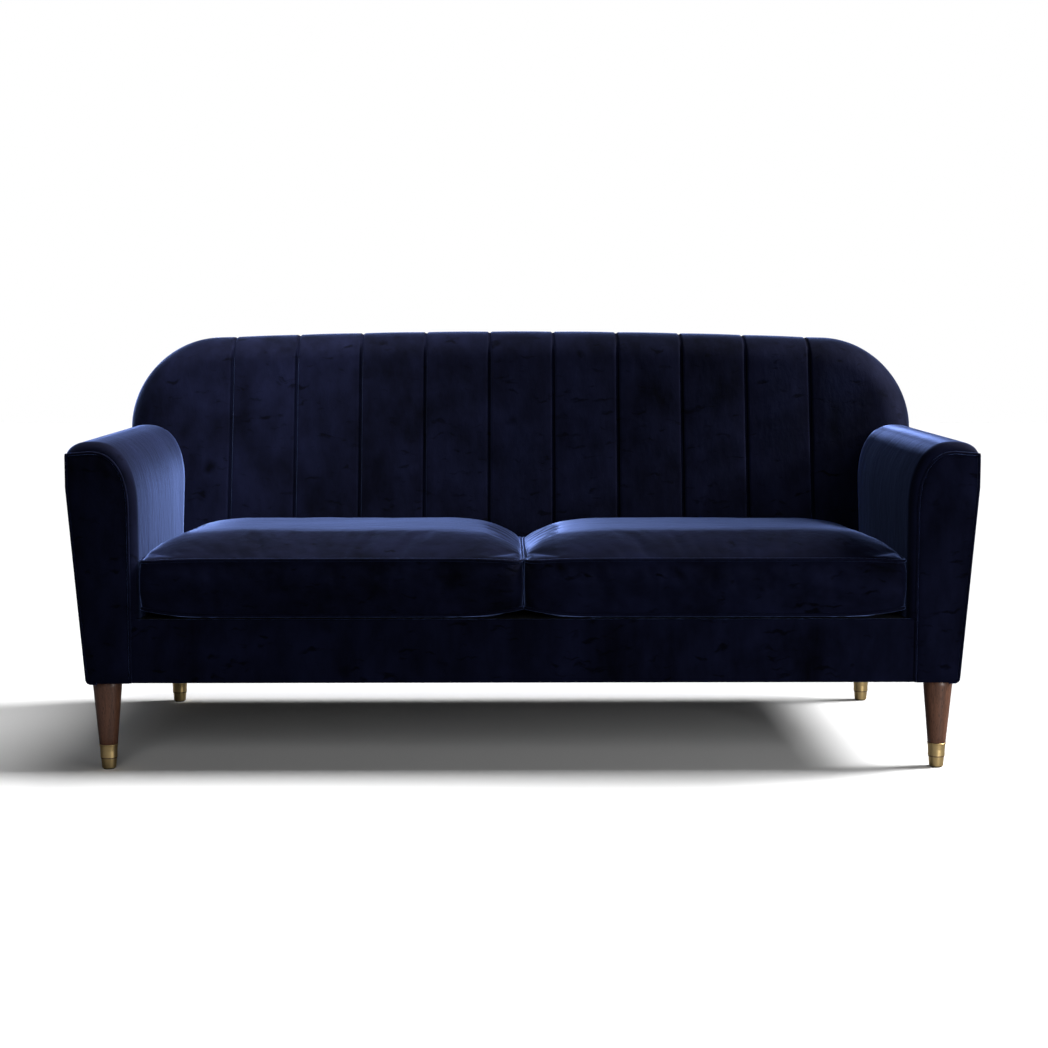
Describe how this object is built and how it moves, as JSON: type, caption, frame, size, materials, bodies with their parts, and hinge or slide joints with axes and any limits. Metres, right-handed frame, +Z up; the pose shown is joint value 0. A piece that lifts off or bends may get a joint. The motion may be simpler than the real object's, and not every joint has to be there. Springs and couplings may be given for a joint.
{
  "type": "sofa with wooden legs",
  "caption": "Upholstered sofa with a channelled rounded back, sloping piped arms, loose box cushions and tapered wooden legs in brass ferrules.",
  "frame": {"origin": "on the floor, under the middle of the sofa's footprint", "axes": "+X to the right of someone facing the sofa and along its width, +Y to its rear, +Z up"},
  "size_m": [1.9, 0.8598, 0.945],
  "materials": {
    "velvet": "cut-pile velvet, deep navy",
    "velvet_piping": "velvet wrapped on cord",
    "walnut": "satin lacquered dark walnut",
    "brass": "satin brushed",
    "frame_timber": "planed softwood",
    "plywood": "sanded birch plywood",
    "spring_steel": "oiled drawn wire",
    "zinc_steel": "bright zinc plated",
    "black_lining": "non-woven lining cloth",
    "webbing": "elastic upholstery webbing",
    "foam": "open-cell foam",
    "fibre_wrap": "bonded polyester wadding",
    "glide_plastic": "moulded",
    "zip_tape": "woven tape with nylon coil",
    "zip_metal": "dark plated"
  },
  "bodies": {
    "sofa_frame": {"front_rail": "frame_timber", "rear_rail": "frame_timber", "spring_rail": "frame_timber", "centre_rails": "frame_timber", "side_rail_left": "frame_timber", "side_rail_right": "frame_timber", "leg_blocks": "frame_timber", "front_rail_cover": "velvet", "seat_springs": "spring_steel", "spring_clips": "zinc_steel", "spring_tie_wires": "spring_steel", "seat_deck": "black_lining", "dust_cover": "black_lining", "arm_left_front_panel": "plywood", "arm_left_top_rail": "frame_timber", "arm_left_lower_rail": "frame_timber", "arm_left_pad": "velvet", "arm_left_outside_panel": "velvet", "arm_left_facing": "velvet", "arm_left_welt": "velvet_piping", "arm_right_front_panel": "plywood", "arm_right_top_rail": "frame_timber", "arm_right_lower_rail": "frame_timber", "arm_right_pad": "velvet", "arm_right_outside_panel": "velvet", "arm_right_facing": "velvet", "arm_right_welt": "velvet_piping", "back_ribs": "plywood", "back_top_rail": "frame_timber", "back_front_arch": "plywood", "back_rear_arch": "plywood", "back_webbing": "webbing", "back_pad": "velvet", "back_rear_cover": "velvet", "back_welt": "velvet_piping", "leg_front_left": "walnut", "leg_front_right": "walnut", "leg_rear_left": "walnut", "leg_rear_right": "walnut", "ferrule_front_left": "brass", "ferrule_front_right": "brass", "ferrule_rear_left": "brass", "ferrule_rear_right": "brass", "leg_glides": "glide_plastic", "leg_bolts": "zinc_steel", "leg_plates": "zinc_steel", "leg_plate_screws": "zinc_steel"},
    "cushion_left": {"cushion_left_cover": "velvet", "cushion_left_wrap": "fibre_wrap", "cushion_left_foam": "foam", "cushion_left_welts": "velvet_piping", "cushion_left_zip": "zip_tape"},
    "zip_slider_left": {"zip_slider_left": "zip_metal"},
    "cushion_right": {"cushion_right_cover": "velvet", "cushion_right_wrap": "fibre_wrap", "cushion_right_foam": "foam", "cushion_right_welts": "velvet_piping", "cushion_right_zip": "zip_tape"},
    "zip_slider_right": {"zip_slider_right": "zip_metal"}
  },
  "joints": [
    {"name": "cushion_left_lift", "type": "slide", "parent": "sofa_frame", "child": "cushion_left", "axis": [0, 0, 1], "range_m": [0, 0.62]},
    {"name": "cushion_right_lift", "type": "slide", "parent": "sofa_frame", "child": "cushion_right", "axis": [0, 0, 1], "range_m": [0, 0.62]},
    {"name": "zip_left_run", "type": "slide", "parent": "cushion_left", "child": "zip_slider_left", "axis": [-1, 0, 0], "range_m": [0, 0.62]},
    {"name": "zip_right_run", "type": "slide", "parent": "cushion_right", "child": "zip_slider_right", "axis": [1, 0, 0], "range_m": [0, 0.62]}
  ]
}
